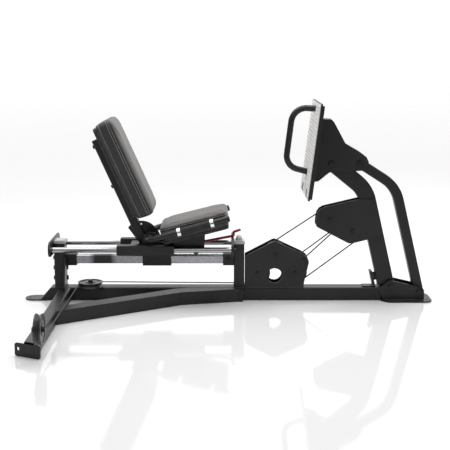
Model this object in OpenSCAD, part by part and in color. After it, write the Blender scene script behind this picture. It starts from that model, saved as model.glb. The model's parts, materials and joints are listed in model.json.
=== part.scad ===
// Seated leg press driven through one cable by a gym's weight stack.
// X runs from the seat towards the foot plate, Y across the machine and Z up from the floor.
// The origin is on the floor under the press arm's front pivot. All sizes are in millimetres.

/* [Base frame] */
// Width of the two base tubes
base_w = 76; // [72:1:78]
// Height of every base tube
base_h = 60; // [58:1:62]
// Width of the cross member that reaches out to the gym
cross_w = 50; // [44:1:56]
// How far the cross member reaches from the centre plane
cross_reach = 925; // [800:5:980]
// Wall thickness of the base tubes and posts
wall = 3; // [2:0.5:4]
// Height of the rear post's top above the floor
post_top = 268; // [266:1:270]

/* [Seat rails] */
// Diameter of each guide rail
rail_d = 25; // [24:0.5:26]
// Distance of each rail from the centre plane
rail_y = 90; // [88:1:92]
// Height of the rail centres
rail_z = 248; // [246:1:250]
// Side of the square adjuster bar
bar_s = 40; // [38:1:40]
// Height of the adjuster bar's centre
bar_z = 190; // [188:1:191]
// Distance between the adjuster bar's lock holes
hole_pitch = 25; // [20:1:30]

/* [Press linkage] */
// Height of the front arm's lower pivot
front_pivot_z = 66; // [65:1:67]
// Lower pivot of the rear arm, X and Z
rear_pivot = [133, 40];
// Upper pivot of the front arm, X and Z
front_top = [-283, 635];
// Upper pivot of the rear arm, X and Z
rear_top = [-154, 636];
// Depth of the front arm's box section in its plane of motion
arm_depth = 76; // [72:1:78]
// Width of both arms across the machine
arm_w = 50; // [46:1:50]
// Diameter of the pivot bolts
pivot_d = 16; // [14:1:16]

/* [Pulleys and cable] */
// Outer diameter of the pulleys inside the brackets
pulley_d = 115; // [110:1:116]
// Thickness of every pulley
pulley_w = 26; // [22:1:26]
// Diameter of the coated cable
cable_d = 5; // [4:0.5:6]

/* [Seat and backrest] */
// Seat pad length, width and thickness
seat_pad_size = [317, 260, 72];
// Seat tilt from level in degrees
seat_tilt = 14.5; // [13.5:0.5:15.5]
// Back pad length, width and thickness
back_pad_size = [470, 260, 84];
// Backrest lean from upright in degrees
back_lean = 24; // [23:0.5:25]

/* [Foot plate] */
// Foot plate width and length
foot_size = [420, 428];
// Foot plate lean from upright in degrees
foot_lean = 7; // [6:0.5:8]

/* [Hidden] */
$fn = 48;
running = 0.05;   // radial clearance of every shaft that turns or slides
axle_r = 5;       // pulley axle bolts
pivot_r = pivot_d / 2;
black = [0.12, 0.12, 0.125];
rubber = [0.06, 0.06, 0.06];
zinc = [0.72, 0.72, 0.74];
grey = [0.66, 0.66, 0.67];

// stations along the base
foot_plate_t = 6;
main_tube_end = -44;
joint_x = -690;
flange_t = 6;
joint_bolt_y = [-49, 50];
upright_x = -701;
upright_d = 48;
post_x = -1528;
post_d = 50;
cross_x = -1504;
tail_x = -1571;
rail_plate_t = 8;
bar_front_x = -737;
lock_x = -900;

// cable path: pulley centres as [X, Z] on the centre plane
groove_depth = 5;                // from a pulley's rim to the cable's centre line
groove_r = pulley_d / 2 - groove_depth;
pulley_a = [-614, 74 + groove_r];
pulley_b = [-534, 212];
pulley_e = [-444, 127];
pulley_c = [-285, 378];
pulley_d_at = [-181, 324];
cable_anchor = [-401, 190];
base_cable_z = pulley_a[1] - groove_r;
turn_pulley = [-1389, -28];      // X and Y of the flat pulley
side_pulley_r = 60;
side_groove_r = side_pulley_r - groove_depth;
side_pulley = [-1460, -950, base_h + 6 + side_groove_r];

// tilted frames
seat_rear = [-1041, 276];        // lower rear edge of the seat board, X and Z
back_pivot = [-1150, 290];
foot_base = [-402, 490];         // lower front edge of the foot plate
arm_lean = 13.5;

// ---------- shared shapes ----------

// Rounded rectangle, centred, with true corner arcs.
module round_rect(w, h, r) {
    square([w - 2 * r, h], center = true);
    square([w, h - 2 * r], center = true);
    for (x = [-1, 1], y = [-1, 1])
        translate([x * (w / 2 - r), y * (h / 2 - r)]) circle(r);
}

// Section of a box tube.
module box_section(w, h, t) {
    difference() {
        round_rect(w, h, 2 * t);
        round_rect(w - 2 * t, h - 2 * t, t);
    }
}

// Bar from a to b along X with the given section (section X is machine Y, section Y is Z).
module along_x(a, b, y, z) {
    translate([a, y, z]) rotate([90, 0, 90]) linear_extrude(b - a) children();
}

// Cylinder along Y between two Y values at [X, Z].
module pin_y(at, r, y0, y1) {
    translate([at[0], y1, at[1]]) rotate([90, 0, 0]) cylinder(r = r, h = y1 - y0);
}

// Cylinder along X between two X values at [Y, Z].
module pin_x(at, r, x0, x1) {
    translate([x0, at[0], at[1]]) rotate([0, 90, 0]) cylinder(r = r, h = x1 - x0);
}

// A drawing in the X-Z plane given thickness between two Y values.
module side_plate(y0, y1) {
    translate([0, y1, 0]) rotate([90, 0, 0]) linear_extrude(y1 - y0) children();
}

// The same plate on both sides of the centre plane, from y0 to y1 outwards.
module plate_pair(y0, y1) {
    side_plate(y0, y1) children();
    side_plate(-y1, -y0) children();
}

// Hexagon bolt along +Z: it clamps what lies between 0 and grip, with a washer on each face.
module hex_bolt(r, grip, head = 7, nut = 8) {
    washer = 1.5;
    translate([0, 0, -washer - head]) cylinder(r = 1.75 * r, h = head, $fn = 6);
    translate([0, 0, -washer]) cylinder(r = 2.1 * r, h = washer);
    cylinder(r = r, h = grip);
    if (nut > 0) {
        translate([0, 0, grip]) cylinder(r = 2.1 * r, h = washer);
        translate([0, 0, grip + washer]) cylinder(r = 1.75 * r, h = nut, $fn = 6);
    }
}

// Bolt along Y at [X, Z] that clamps faces at y0 and y1; its head is on the y0 side.
module bolt_y(at, r, y0, y1) {
    translate([at[0], y0, at[1]]) rotate([-90, 0, 0]) hex_bolt(r, y1 - y0);
}

// Bolt along X at [Y, Z] that clamps faces at x0 and x1; its head is on the x0 side.
module bolt_x(at, r, x0, x1, nut = 8) {
    translate([x0, at[0], at[1]]) rotate([0, 90, 0]) hex_bolt(r, x1 - x0, nut = nut);
}

// Straight round bar between two 3-D points, a hair short of both.
module rod(a, b, r) {
    d = b - a;
    hair = 0.1;
    translate(a) rotate([0, atan2(norm([d[0], d[1]]), d[2]), atan2(d[1], d[0])])
        translate([0, 0, hair]) cylinder(r = r, h = norm(d) - 2 * hair);
}

// Section that runs along +Z, then bends in its own X-Z plane. Each step is
// [straight length, bend radius, bend angle]; a positive angle bends towards -X.
// The first child is the section, the second a slightly fuller one for a fine weld
// bead round both ends of each bend.
module run(path, i = 0) {
    len = path[i][0];
    linear_extrude(len) children(0);
    if (i < len(path) - 1) {
        r = path[i][1];
        a = path[i][2];
        side = a < 0 ? -1 : 1;
        translate([0, 0, len]) {
            bead() children(1);
            rotate([0, 0, side < 0 ? 180 : 0]) translate([-r, 0, 0]) rotate([90, 0, 0])
                rotate_extrude(angle = abs(a)) translate([r, 0]) children(0);
            translate([-side * r * (1 - cos(a)), 0, r * sin(abs(a))]) rotate([0, -a, 0]) {
                bead() children(1);
                run(path, i + 1) {
                    children(0);
                    children(1);
                }
            }
        }
    }
}

module bead() {
    translate([0, 0, -0.2]) linear_extrude(0.4) children();
}

// Box tube through the path, with its beads.
module run_box(path, w, h, t) {
    proud = 0.3;
    run(path) {
        box_section(w, h, t);
        difference() {
            round_rect(w + proud, h + proud, 2 * t + proud / 2);
            round_rect(w - 2 * t - proud, h - 2 * t - proud, t - proud / 2);
        }
    }
}

// Round bar through the path, with its beads.
module run_bar(path, r) {
    run(path) {
        circle(r);
        circle(r + 0.1);
    }
}

// Grooved wheel with its axis along Z, centred on its mid plane.
module grooved_wheel(r, w, bore) {
    seat = r - groove_depth;
    gap = cable_d / 2 + 0.15;
    rotate_extrude($fn = 96) difference() {
        translate([bore, -w / 2]) square([r - bore, w]);
        translate([seat, 0]) circle(gap);
        polygon([[seat, -gap], [r + 1, 3 - w / 2], [r + 1, w / 2 - 3], [seat, gap]]);
        for (s = [-1, 1]) translate([r * 0.62, s * w / 2]) square([r * 0.44, 5], center = true);
    }
}

// Wheel of the bracket pulleys at [X, Z], axis along Y.
module bracket_pulley(at) {
    color(grey) translate([at[0], 0, at[1]]) rotate([90, 0, 0])
        grooved_wheel(pulley_d / 2, pulley_w, axle_r + running);
}

// ---------- plane geometry ----------

// Unit vector that leans a degrees from upright towards -X, and the vector square to it.
function lean_dir(a) = [-sin(a), cos(a)];
function lean_side(a) = [cos(a), sin(a)];

// Where the line from p with lean a meets the line through q with lean b.
function meet(p, a, q, b) = p + lean_dir(a) * (cross(q - p, lean_dir(b)) / cross(lean_dir(a), lean_dir(b)));

// Heading of the line tangent to circles at p and q. A radius is positive where the
// circle's centre lies to the right of the line, negative where it lies to the left.
function heading(p, q, rp, rq) =
    atan2(q[1] - p[1], q[0] - p[0]) - asin((rp - rq) / norm(q - p));
// Where the line with that heading touches the circle at p.
function touch(p, r, h) = p + r * [-sin(h), cos(h)];

// Point of the foot plate's frame: up the plate by h and back from its face by w.
function foot_pt(h, w) = foot_base + [h * sin(foot_lean) + w * cos(foot_lean),
                                      h * cos(foot_lean) - w * sin(foot_lean)];

// Places children drawn in a frame whose Z leans a degrees towards -X from [X, Z].
module leaning(at, a) {
    translate([at[0], 0, at[1]]) rotate([0, -a, 0]) children();
}

// ---------- base frame ----------

module main_base_tube() {
    color(black) along_x(joint_x + flange_t, main_tube_end, 0, base_h / 2)
        box_section(base_w, base_h, wall);
}

module rear_base_tube() {
    slope = 52;          // how much further the tube reaches at the floor than at its top
    color(black) difference() {
        along_x(tail_x - slope, joint_x - flange_t, 0, base_h / 2)
            box_section(base_w, base_h, wall);
        side_plate(-base_w, base_w) polygon([[tail_x, base_h], [tail_x - slope, 0],
            [tail_x - 2 * slope, 0], [tail_x - 2 * slope, 2 * base_h], [tail_x, 2 * base_h]]);
        translate([tail_x - 2 * slope, -base_w, -1]) cube([2 * slope - 19, 2 * base_w, foot_plate_t + 1]);
        translate([turn_pulley[0], turn_pulley[1], base_h / 2]) cylinder(r = 6, h = base_h);
    }
}

// Bent tube from the base joint out to the cross member.
module brace_tube() {
    near = [[-697, -63], [-961, -125], [-1555, -509]];    // near face in plan
    turn = [atan2(-62, -264), atan2(-384, -594)];         // heading of each leg
    module strip(inset, over) {
        // both legs' faces offset to the far side, mitred where they meet and run over
        // both ends
        mitre = (turn[0] + turn[1]) / 2;
        knee = 1 / cos((turn[0] - turn[1]) / 2);
        far = base_w - inset;
        start = near[0] - over * [cos(turn[0]), sin(turn[0])];
        end = near[2] + over * [cos(turn[1]), sin(turn[1])];
        polygon([start + inset * [sin(turn[0]), -cos(turn[0])],
                 near[1] + inset * knee * [sin(mitre), -cos(mitre)],
                 end + inset * [sin(turn[1]), -cos(turn[1])],
                 end + far * [sin(turn[1]), -cos(turn[1])],
                 near[1] + far * knee * [sin(mitre), -cos(mitre)],
                 start + far * [sin(turn[0]), -cos(turn[0])]]);
    }
    color(black) difference() {
        linear_extrude(base_h) strip(0, 20);
        translate([0, 0, wall]) linear_extrude(base_h - 2 * wall) strip(wall, 40);
        translate([-1300, -300, -1]) cylinder(r = 5, h = wall + 2);     // paint drain
        translate([-1200, -base_w / 2, -1]) cube([600, 300, base_h + 2]);
        translate([cross_x + cross_w / 2 - 200, -700, -1]) cube([200, 800, base_h + 2]);
        translate([joint_x - flange_t, -200, -1]) cube([100, 400, base_h + 2]);
    }
}

link_angle = 27;                                    // the gym bracket's turn from the X axis
link_corner = [-1568, -887];                        // its outer lower corner in plan

module cross_tube() {
    right = cross_x + cross_w / 2;
    arm_t = 4;
    color(black) {
        difference() {
            translate([cross_x, -base_w / 2, base_h / 2]) rotate([90, 0, 0])
                linear_extrude(cross_reach + 60 - base_w / 2) box_section(cross_w, base_h, wall);
            translate([link_corner[0], link_corner[1], -1]) rotate([0, 0, -link_angle])
                translate([-50, -200, 0]) cube([300, 206, base_h + 2]);
        }
        // plate that carries the side pulley
        translate([right, 0, 0]) rotate([90, 0, 90]) linear_extrude(arm_t) difference() {
            union() {
                polygon([[-905, 8], [-830, 8], [-830, 50], [side_pulley[1] + 26, side_pulley[2]],
                         [side_pulley[1] - 24, side_pulley[2] - 14], [-940, base_h + 4], [-905, 40]]);
                translate([side_pulley[1], side_pulley[2]]) circle(28);
            }
            translate([side_pulley[1], side_pulley[2]]) circle(axle_r + 1);
        }
    }
}

module joint_flanges() {
    color(black) for (x = [joint_x - flange_t, joint_x])
        translate([x, 0, 0]) rotate([90, 0, 90]) linear_extrude(flange_t) difference() {
            translate([-66, 0]) square([126, base_h]);
            for (y = joint_bolt_y) translate([y, 34]) circle(5.2);
        }
}

module link_bracket() {
    length = 118;
    height = 52;
    color(black) translate([link_corner[0], link_corner[1], 0]) rotate([0, 0, -link_angle])
        translate([0, 6, 0]) rotate([90, 0, 0]) linear_extrude(6) difference() {
            translate([length / 2, height / 2]) round_rect(length, height, 9);
            translate([15, 29]) circle(7);
            translate([length - 16, 27]) circle(4.5);
        }
}

module rear_foot_plate() {
    tip = 44;
    color(black) linear_extrude(foot_plate_t) difference() {
        union() {
            translate([-1652, -tip]) square([1652 - 1590, 2 * tip]);
            translate([-1652, 0]) circle(tip, $fn = 72);
        }
        translate([-1674, 0]) circle(5.5);
    }
}

module pivot_foot_plate() {
    half = 85;
    cut = 30;
    color(black) linear_extrude(foot_plate_t) difference() {
        union() {
            polygon([[main_tube_end, -half + cut], [main_tube_end + cut, -half], [150, -half],
                     [150, half], [main_tube_end + cut, half], [main_tube_end, half - cut]]);
            translate([130, -half + 39]) square([59, 2 * half - 78]);
            for (s = [-1, 1]) translate([150, s * (half - 39)]) circle(39, $fn = 72);
        }
        for (s = [-1, 1]) translate([166, s * 52]) circle(5.5);
    }
}

module pivot_side_plates() {
    at = [[0, front_pivot_z], rear_pivot];
    color(black) plate_pair(base_w / 2, base_w / 2 + 8) difference() {
        union() {
            polygon([[-58, 57], [-14, 90], [0, 94], [14, 92], [118, 68], [154, 42], [154, foot_plate_t],
                     [main_tube_end + 8, foot_plate_t]]);
            translate(at[0]) circle(29);
        }
        for (p = at) translate(p) circle(pivot_r + 0.02);
    }
}

module base_pivot_bolts() {
    outside = base_w / 2 + 8;
    color(black) for (p = [[0, front_pivot_z], rear_pivot]) bolt_y(p, pivot_r, -outside, outside);
}

// The stop's frame leans with the arm; its Z runs up the arm's rear face.
arm_offset = 17.2;                                   // pivot to the lower tube's centre line
arm_root = [0, front_pivot_z] - arm_offset * lean_side(arm_lean);

module stop_bracket() {
    color(black) intersection() {
        union() {
            leaning(arm_root, arm_lean) translate([-arm_depth / 2 - 24, -24, -10]) cube([12, 48, 98]);
            translate([-128, -24, base_h]) cube([60, 48, 5]);
        }
        translate([-200, -50, base_h]) cube([200, 100, 200]);
    }
}

module stop_rubber() {
    color(rubber) leaning(arm_root, arm_lean) translate([-arm_depth / 2 - 0.2, 0, 58])
        rotate([0, -90, 0]) cylinder(r = 19, h = 11.8);
}

// ---------- posts and rails ----------

module rear_post() {
    color(black) difference() {
        translate([post_x, 0, base_h]) linear_extrude(post_top - base_h) box_section(post_d, base_w, wall);
        for (z = [195, 148, 100]) pin_x([0, z], 6, post_x - 40, post_x + 40);
    }
}

module front_upright() {
    color(black) difference() {
        translate([upright_x, 0, base_h]) linear_extrude(265 - base_h) box_section(upright_d, base_w, wall);
        pin_x([3, base_cable_z], 9, upright_x - 40, upright_x + 40);
    }
}

// Caps on both posts, cut back level with the posts where the rail plates stand.
module post_caps() {
    color("gainsboro") difference() {
        post_cap_shapes();
        for (x = [post_x - post_d / 2, upright_x - upright_d / 2])
            translate([x - 19.9, -100, 200]) cube([20, 200, 86]);
    }
}

module post_cap_shapes() {
    union() {
        translate([post_x, 0, post_top]) linear_extrude(9) round_rect(59, 80, 7);
        translate([post_x, 0, post_top + 9]) linear_extrude(4) round_rect(50, 70, 8);
        translate([upright_x, 0, 265]) {
            linear_extrude(9) round_rect(54, 80, 7);
            translate([0, 0, 9]) linear_extrude(5) round_rect(44, 66, 8);
            translate([0, 0, 14]) linear_extrude(8) round_rect(28, 48, 13);
            translate([0, 0, 22]) {
                translate([0, 10, 0]) rotate([90, 0, 0]) cylinder(r = 14, h = 20);
                for (s = [-1, 1]) translate([0, s * 10, 0]) sphere(14);
            }
        }
    }
}

module post_gusset() {
    color(black) translate([post_x + post_d / 2, 0, 0]) rotate([90, 0, 90]) linear_extrude(6)
        polygon([[-base_w / 2, base_h], [-base_w / 2, 205], [-50, 205], [-104, base_h + 14], [-104, base_h]]);
}

// Rounded plates at both ends of the rails. The front one is notched for the lever.
module rail_end_plates() {
    end_r = 34;
    mid_z = 256;
    color(black) for (x = [post_x - post_d / 2 - rail_plate_t, bar_front_x])
        translate([x, 0, mid_z]) rotate([90, 0, 90])
            linear_extrude(x < bar_front_x ? rail_plate_t : upright_x - upright_d / 2 - bar_front_x)
                difference() {
                    union() {
                        square([232, 2 * end_r], center = true);
                        for (s = [-1, 1]) translate([s * 116, 0]) circle(end_r, $fn = 72);
                    }
                    for (s = [-1, 1]) translate([s * rail_y, rail_z - mid_z]) circle(5.1);
                    if (x == bar_front_x) translate([-9, 19]) square([18, end_r]);
                }
}

module guide_rails() {
    start = post_x - post_d / 2;
    color("silver") for (s = [-1, 1]) difference() {
        pin_x([s * rail_y, rail_z], rail_d / 2, start, bar_front_x);
        pin_x([s * rail_y, rail_z], 5, start - 1, start + 30);
        pin_x([s * rail_y, rail_z], 5, bar_front_x - 30, bar_front_x + 1);
    }
}

bar_rear_x = post_x + post_d / 2 + 10;
bar_bolt_x = [post_x + post_d / 2 + 27, bar_front_x - 14];

module adjuster_bar() {
    color(zinc) difference() {
        along_x(bar_rear_x, bar_front_x, 0, bar_z) box_section(bar_s, bar_s, 3);
        for (i = [-13 : 4]) translate([lock_x + i * hole_pitch, 0, bar_z]) cylinder(r = 5.3, h = bar_s);
        for (x = bar_bolt_x) pin_y([x, bar_z], axle_r, -bar_s, bar_s);
    }
}

module bar_brackets() {
    color(black) for (x = [[post_x + post_d / 2, 52, 4], [bar_front_x - 38, 50, 46]])
        difference() {
            translate([x[0], -26, bar_z - 27]) cube([x[1], 52, 52]);
            translate([x[2] < 10 ? x[0] + 6 : x[0] - 1, -bar_s / 2 - 0.1, bar_z - bar_s / 2 - 0.1])
                cube([x[2] < 10 ? 60 : 39.1, bar_s + 0.2, bar_s + 0.2]);
            for (b = bar_bolt_x) pin_y([b, bar_z], axle_r, -bar_s, bar_s);
        }
}

module frame_bolts() {
    color(black) {
        for (y = joint_bolt_y) mirror([1, 0, 0]) bolt_x([y, 34], 5, -joint_x - flange_t, -joint_x + flange_t);
        bolt_x([0, 195], 6, post_x - post_d / 2, post_x + post_d / 2, 0);
        for (z = [148, 100]) bolt_x([0, z], 6, post_x - post_d / 2, post_x + post_d / 2);
        for (x = bar_bolt_x) bolt_y([x, bar_z], axle_r, -26, 26);
        for (s = [-1, 1]) {
            bolt_x([s * rail_y, rail_z], axle_r, post_x - post_d / 2 - rail_plate_t,
                   post_x - post_d / 2 + 28, 0);
            mirror([1, 0, 0]) bolt_x([s * rail_y, rail_z], axle_r, upright_d / 2 - upright_x,
                                     28 - bar_front_x, 0);
        }
    }
}

// ---------- pulleys ----------

box_plate = [base_w / 2 - 6, base_w / 2];           // Y of the base pulley box's plates
arm_plate = [arm_w / 2 + 0.5, arm_w / 2 + 6.5];             // Y of the arm's pulley plates

// Plates on both sides of the centre plane with a spacer boss at every pulley axle.
module pulley_plates(y, axles) {
    difference() {
        union() {
            plate_pair(y[0], y[1]) children();
            for (p = axles, s = [-1, 1])
                pin_y(p, 10, s < 0 ? -y[0] : pulley_w / 2 + 0.2, s < 0 ? -pulley_w / 2 - 0.2 : y[0]);
        }
        for (p = axles) pin_y(p, axle_r + 0.02, -y[1] - 1, y[1] + 1);
    }
}

module pulley_box_plates() {
    color(black) difference() {
        pulley_plates(box_plate, [pulley_a, pulley_b, pulley_e])
            polygon([[-674, base_h], [-674, 209], [-546, 276], [-537, 278], [-528, 276], [-414, 222],
                     [-390, 206], [-380, 187], [-380, 176], [-401, 84], [-403, base_h]]);
        pin_y([-537, 117], 34.5, -base_w, base_w);
        pin_y(cable_anchor, axle_r + 0.02, -base_w, base_w);
    }
}

module pulley_bolts() {
    color(black) {
        for (p = [pulley_a, pulley_b, pulley_e, cable_anchor]) bolt_y(p, axle_r, -box_plate[1], box_plate[1]);
        bolt_x([side_pulley[1], side_pulley[2]], axle_r + 1, cross_x + cross_w / 2, side_pulley[0] + 14);
        translate([turn_pulley[0], turn_pulley[1], base_cable_z + pulley_w / 2]) mirror([0, 0, 1])
            hex_bolt(6, base_cable_z + pulley_w / 2 - base_h + wall, 7, 0);
    }
}

module lower_rear_pulley() { bracket_pulley(pulley_a); }
module upper_base_pulley() { bracket_pulley(pulley_b); }
module lower_front_pulley() { bracket_pulley(pulley_e); }
module arm_rear_pulley() { bracket_pulley(pulley_c); }
module arm_front_pulley() { bracket_pulley(pulley_d_at); }

module turning_pulley() {
    color(grey) translate([turn_pulley[0], turn_pulley[1], base_cable_z])
        grooved_wheel(pulley_d / 2, pulley_w, 6 + running);
}

module side_pulley_wheel() {
    color(grey) translate(side_pulley) rotate([0, 90, 0])
        grooved_wheel(side_pulley_r, 28, axle_r + 1 + running);
}

// ---------- cable ----------

// The cable comes from the gym round the side and turning pulleys and through the base box.
h_ab = heading(pulley_a, pulley_b, -groove_r, groove_r);
h_bc = heading(pulley_b, pulley_c, groove_r, groove_r);
h_ce = heading(pulley_c, pulley_e, groove_r, -groove_r);
h_ed = heading(pulley_e, pulley_d_at, -groove_r, -groove_r);
h_d = heading(pulley_d_at, cable_anchor, -groove_r, 0);

// Cable bent round a pulley between two angles, in the X-Z plane.
module wrap(at, from, to) {
    translate([at[0], 0, at[1]]) rotate([90, 0, 0]) rotate([0, 0, min(from, to)])
        rotate_extrude(angle = abs(to - from), $fn = 96)
            translate([groove_r, 0]) circle(cable_d / 2, $fn = 24);
}

// Straight cable in the X-Z plane.
module straight(a, b) {
    rod([a[0], 0, a[1]], [b[0], 0, b[1]], cable_d / 2, $fn = 24);
}

module base_cable() {
    r = cable_d / 2;
    h_in = heading([side_pulley[0], side_pulley[1]], turn_pulley, 0, groove_r);
    h_out = heading(turn_pulley, [pulley_a[0], 0], groove_r, 0);
    in_pt = touch(turn_pulley, groove_r, h_in);
    out_pt = touch(turn_pulley, groove_r, h_out);
    knots = [[side_pulley[0], side_pulley[1], side_pulley[2] - side_groove_r],
             [in_pt[0], in_pt[1], base_cable_z], [out_pt[0], out_pt[1], base_cable_z],
             [pulley_a[0], 0, base_cable_z]];
    color("dimgray") {
        // round the front of the side pulley
        translate(side_pulley) rotate([90, 0, 90]) rotate([0, 0, 160])
            rotate_extrude(angle = 110, $fn = 96) translate([side_groove_r, 0]) circle(r, $fn = 24);
        for (i = [0, 2]) rod(knots[i], knots[i + 1], r, $fn = 24);
        translate([turn_pulley[0], turn_pulley[1], base_cable_z]) rotate([0, 0, h_out + 90])
            rotate_extrude(angle = h_in - h_out, $fn = 96) translate([groove_r, 0]) circle(r, $fn = 24);
        wrap(pulley_a, -90, h_ab - 90);
        straight(touch(pulley_a, -groove_r, h_ab), touch(pulley_b, groove_r, h_ab));
        wrap(pulley_b, h_bc + 90, h_ab + 90);
        wrap(pulley_e, h_ce + 360 - 90, h_ed + 360 - 90);
        // eye on the anchor bolt
        difference() {
            pin_y(cable_anchor, 11, -6, 6);
            pin_y(cable_anchor, axle_r + 0.02, -7, 7);
        }
    }
}

module arm_cable_runs() {
    end = cable_anchor - 11 * [cos(h_d), sin(h_d)];
    color("dimgray") {
        straight(touch(pulley_b, groove_r, h_bc), touch(pulley_c, groove_r, h_bc));
        straight(touch(pulley_c, groove_r, h_ce), touch(pulley_e, -groove_r, h_ce));
        straight(touch(pulley_e, -groove_r, h_ed), touch(pulley_d_at, -groove_r, h_ed));
        straight(touch(pulley_d_at, -groove_r, h_d), end);
    }
}

module arm_cable() {
    color("dimgray") {
        wrap(pulley_c, h_ce + 90, h_bc + 90);
        wrap(pulley_d_at, h_ed - 90, h_d + 360 - 90);
    }
}

// ---------- press arms ----------

upper_lean = 51;                 // lean of the front arm's upper leg
upper_at = [-259, 622.5];        // point on that leg's centre line
boss_low = base_w / 2 - 1;       // half width of the arms' lower bosses
boss_top = 31;                   // half width of their upper bosses
bush_r = 11;

// Box tube from one lean to another with a bend between, from s0 above the first point
// to s1 past the second.
module bent_arm(at, a, to, b, r, s0, s1, depth) {
    corner = meet(at, a, to, b);
    tangent = r * tan((b - a) / 2);
    leaning(at, a) translate([0, 0, s0])
        run_box([[norm(corner - at) - tangent - s0, r, b - a], [norm(to - corner) - tangent + s1, 0, 0]],
                depth, arm_w, wall);
}

module front_arm() {
    foot = 20;                   // the tube starts this far above the arm's root
    past = 10;                   // and ends this far past the upper point
    end = upper_at + past * lean_dir(upper_lean);
    color(black) difference() {
        union() {
            difference() {
                bent_arm(arm_root, arm_lean, upper_at, upper_lean, 150, foot, past, arm_depth);
                pin_y(front_top, 24, -arm_w / 2, arm_w / 2);
            }
            // closing plates, a little proud of the tube
            leaning(arm_root, arm_lean) translate([0, 0, foot - 1]) linear_extrude(4)
                round_rect(arm_depth + 1, arm_w + 1, 6.5);
            leaning(end, upper_lean) translate([0, 0, -3]) linear_extrude(4)
                round_rect(arm_depth + 1, arm_w + 1, 6.5);
            pin_y([0, front_pivot_z], 25, -boss_low, boss_low);
            // webs from the tube's foot to the boss
            plate_pair(arm_w / 2 - 7, arm_w / 2 - 1)
                polygon([[-57, 73.4], [-17.7, 49], [0, 55], [12, 90], [-20, 96]]);
            pin_y(front_top, 25, -boss_top, boss_top);
        }
        pin_y([0, front_pivot_z], bush_r, -base_w, base_w);
        pin_y(front_top, bush_r, -base_w, base_w);
        // drain hole
        leaning(arm_root, arm_lean) translate([-22, 0, foot - 2]) cylinder(r = 4, h = 8);
    }
}

// Flanged bushes pressed into both ends of the front arm's bosses.
module front_arm_bushes() {
    color("peru") for (b = [[[0, front_pivot_z], boss_low], [front_top, boss_top]], s = [0, 1])
        mirror([0, s, 0]) difference() {
            union() {
                pin_y(b[0], bush_r, b[1] - 18, b[1]);
                pin_y(b[0], bush_r + 5, b[1], b[1] + 0.8);
            }
            pin_y(b[0], pivot_r + running, 0, b[1] + 2);
        }
}

module arm_pulley_plates() {
    color(black) pulley_plates(arm_plate, [pulley_c, pulley_d_at])
        polygon([[-159, 472], [-314, 435], [-332, 425], [-343, 409], [-347, 394], [-350, 362],
                 [-349, 350], [-341, 342], [-202, 269], [-192, 267], [-171, 270], [-114, 284],
                 [-38, 303], [-79, 466], [-84, 472]]);
}

module arm_pulley_bolts() {
    color(black) for (p = [pulley_c, pulley_d_at]) bolt_y(p, axle_r, -arm_plate[1], arm_plate[1]);
}

module rear_arm() {
    open_fit = 0.7;              // the upper pivot is left open by this much all round
    color(black) difference() {
        union() {
            bent_arm(rear_pivot, 13.7, rear_top, 57.3, 160, 0, 0, 45);
            pin_y(rear_pivot, 23, -boss_low, boss_low);
            pin_y(rear_top, 23, -boss_top, boss_top);
        }
        pin_y(rear_pivot, pivot_r + running, -base_w, base_w);
        pin_y(rear_top, pivot_r + open_fit, -base_w, base_w);
    }
}

// ---------- foot plate and its carriage ----------

foot_steel_t = 8;
tread_t = 3;
mount_t = 6;
carriage_plate = [32, 40];       // Y of the carriage's side plates

// Slab of the foot plate's frame from w0 to w1 behind its face, h0 to h1 up it.
module foot_slab(w0, w1, h0, h1, width, r) {
    leaning(foot_base, -foot_lean) translate([w0, 0, (h0 + h1) / 2]) rotate([0, 90, 0])
        linear_extrude(w1 - w0) round_rect(h1 - h0, width, r);
}

module foot_carriage() {
    back = foot_steel_t + mount_t;
    edge = [foot_pt(352, back), [-287, 836], [-275, 824], [-222, 727], [-153, 687]];
    rest = [[-126, 666], [-115, 643], [-120, 622], [-135, 604], [-169, 603], [-293, 596], [-342, 556],
            foot_pt(62, back)];
    color(black) {
        plate_pair(carriage_plate[0], carriage_plate[1]) difference() {
            polygon(concat(edge, rest));
            for (p = [front_top, rear_top]) translate(p) circle(pivot_r);
        }
        // web along the upper edge
        side_plate(-carriage_plate[0], carriage_plate[0]) for (i = [0 : 3]) {
            d = edge[i + 1] - edge[i];
            translate(edge[i]) rotate(atan2(d[1], d[0])) translate([0, -5]) square([norm(d), 5]);
        }
        foot_slab(foot_steel_t, back, 50, 362, 120, 6);
    }
}

// Steel plate with a lip folded back along both sides.
module foot_plate() {
    lip = 9;
    color(black) {
        foot_slab(0, foot_steel_t, 0, foot_size[1], foot_size[0], 4);
        for (s = [-1, 1]) translate([0, s * (foot_size[0] / 2 - 2.5), 0])
            foot_slab(foot_steel_t - 1, foot_steel_t + lip, 8, foot_size[1] - 8, 4, 1);
    }
}

handle_bar_r = 14;

// Bent bar of the grab handle, deep enough at both ends to reach into the plates.
module handle_bar(r) {
    deep = 25;
    slope = 87;                  // lean of the handle's first leg
    leaning([-351, 882] - deep * lean_dir(slope), slope)
        run_bar([[44 + deep, 68, 86], [150, 62, 82], [50 + deep, 0, 0]], r);
}

module foot_tread() {
    inset = 4;
    color([0.8, 0.79, 0.78]) difference() {
        foot_slab(-tread_t, 0, inset, foot_size[1] - inset, foot_size[0] - 2 * inset, 4);
        for (s = [-1, 1]) translate([0, s * 108, 0]) foot_slab(-tread_t - 1, 1, -10, 42, 60, 8);
        handle_bar(handle_bar_r + 0.5);
    }
}

module grab_handle() {
    color(black) difference() {
        handle_bar(handle_bar_r);
        foot_slab(0, 60, -50, foot_size[1] + 50, 100, 1);
    }
}

module foot_pivot_bolts() {
    color(black) for (p = [front_top, rear_top]) bolt_y(p, pivot_r, -carriage_plate[1], carriage_plate[1]);
}

// ---------- seat carriage ----------

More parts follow.
